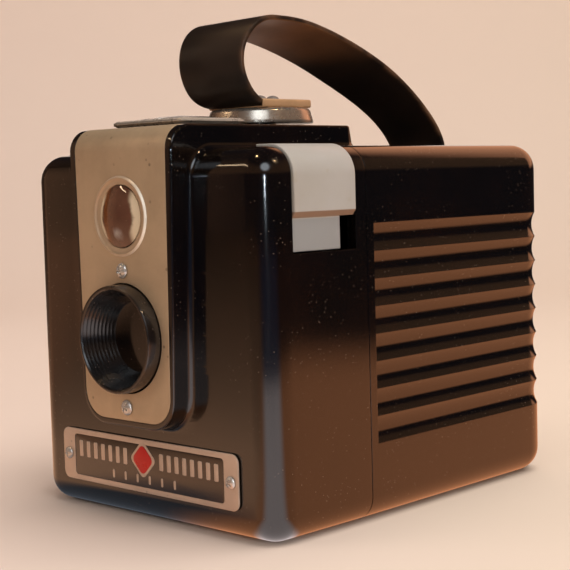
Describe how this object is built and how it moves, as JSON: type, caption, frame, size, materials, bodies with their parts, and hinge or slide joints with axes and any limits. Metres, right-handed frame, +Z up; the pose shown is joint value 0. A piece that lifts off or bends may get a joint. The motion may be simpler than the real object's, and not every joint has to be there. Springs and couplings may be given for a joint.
{
  "type": "box camera",
  "caption": "Moulded roll-film box camera with raised lens and finder housing, fluted pull-off rear cover, turn latch and carrying strap.",
  "frame": {"origin": "centre of the flat base", "axes": "+Z up, the lens looks along -Y, +X to the viewer's right when facing the lens"},
  "size_m": [0.0919, 0.118, 0.1203],
  "materials": {
    "moulded_body": "glossy dark brown-black moulding",
    "barrel_black": "glossy black moulding",
    "face_metal": "warm satin grey",
    "plate_metal": "satin border, dark enamelled field, small red enamel mark",
    "clip_metal": "satin, slightly tarnished",
    "nickel": "polished nickel",
    "works_steel": "plain bright steel",
    "works_black": "matt black paint",
    "ivory_plastic": "aged ivory-grey satin",
    "clear_glass": "clear",
    "mirror_glass": "silvered",
    "red_window": "deep red, glossy",
    "strap_leather": "smooth black, brown at the worn edges"
  },
  "bodies": {
    "front_body": {"front_shell": "moulded_body", "face_panel": "face_metal", "nameplate": "plate_metal", "lens_barrel": "barrel_black", "taking_lens": "clear_glass", "lens_retainer_spring": "works_steel", "finder_front_lens": "clear_glass", "finder_bead": "face_metal", "finder_mirror": "mirror_glass", "finder_top_frame": "face_metal", "finder_top_lens": "clear_glass", "panel_screw_upper": "nickel", "panel_screw_lower": "nickel", "plate_screw_left": "nickel", "plate_screw_right": "nickel", "shutter_board": "works_black", "shutter_pivot": "works_steel", "shutter_spring": "works_steel", "spring_post": "works_steel", "film_carrier": "works_black"},
    "rear_cover": {"rear_shell": "moulded_body", "red_window": "red_window", "strap": "strap_leather", "strap_anchor": "works_steel"},
    "latch": {"latch_disc": "nickel", "latch_hook": "works_steel", "strap_clip": "clip_metal", "clip_rivet_front": "nickel", "clip_rivet_rear": "nickel"},
    "exposure_lever": {"exposure_lever": "ivory_plastic", "exposure_link": "works_steel"},
    "shutter_release": {"shutter_release": "ivory_plastic", "release_link": "works_steel"},
    "shutter_blade": {"shutter_blade": "works_steel"},
    "winding_sleeve": {"winding_bushing": "works_steel"},
    "winding_knob": {"winding_knob": "barrel_black"},
    "takeup_spool": {"takeup_spool": "works_black"},
    "upper_roller": {"upper_roller": "works_steel"},
    "lower_roller": {"lower_roller": "works_steel"}
  },
  "joints": [
    {"name": "cover_slide", "type": "slide", "parent": "front_body", "child": "rear_cover", "axis": [0, 1, 0], "range_m": [0, 0.085]},
    {"name": "latch_turn", "type": "hinge", "parent": "rear_cover", "child": "latch", "pos_m": [0, -0.0134, 0.0959], "axis": [0, 0, 1], "range_deg": [0, 60]},
    {"name": "exposure_lever_lift", "type": "slide", "parent": "front_body", "child": "exposure_lever", "axis": [0, 0, 1], "range_m": [0, 0.005]},
    {"name": "shutter_release_press", "type": "slide", "parent": "front_body", "child": "shutter_release", "axis": [0, 0, -1], "range_m": [0, 0.006]},
    {"name": "shutter_blade_swing", "type": "hinge", "parent": "front_body", "child": "shutter_blade", "pos_m": [-0.017, -0.0477, 0.052], "axis": [0, 1, 0], "range_deg": [0, 40]},
    {"name": "spool_turn", "type": "hinge", "parent": "front_body", "child": "takeup_spool", "pos_m": [0, -0.0344, 0.02], "axis": [-1, 0, 0], "continuous": true},
    {"name": "knob_turn", "type": "hinge", "parent": "front_body", "child": "winding_sleeve", "pos_m": [-0.04, -0.0344, 0.02], "axis": [-1, 0, 0], "continuous": true},
    {"name": "knob_pull", "type": "slide", "parent": "winding_sleeve", "child": "winding_knob", "axis": [-1, 0, 0], "range_m": [0, 0.006]},
    {"name": "upper_roller_turn", "type": "hinge", "parent": "front_body", "child": "upper_roller", "pos_m": [0, 0.0406, 0.0762], "axis": [1, 0, 0], "continuous": true},
    {"name": "lower_roller_turn", "type": "hinge", "parent": "front_body", "child": "lower_roller", "pos_m": [0, 0.0406, 0.0122], "axis": [1, 0, 0], "continuous": true}
  ],
  "couplings": [
    {"joint": "shutter_blade_swing", "follows": "shutter_release_press", "rad_per_m": 116},
    {"joint": "knob_turn", "follows": "spool_turn", "ratio": 1}
  ]
}
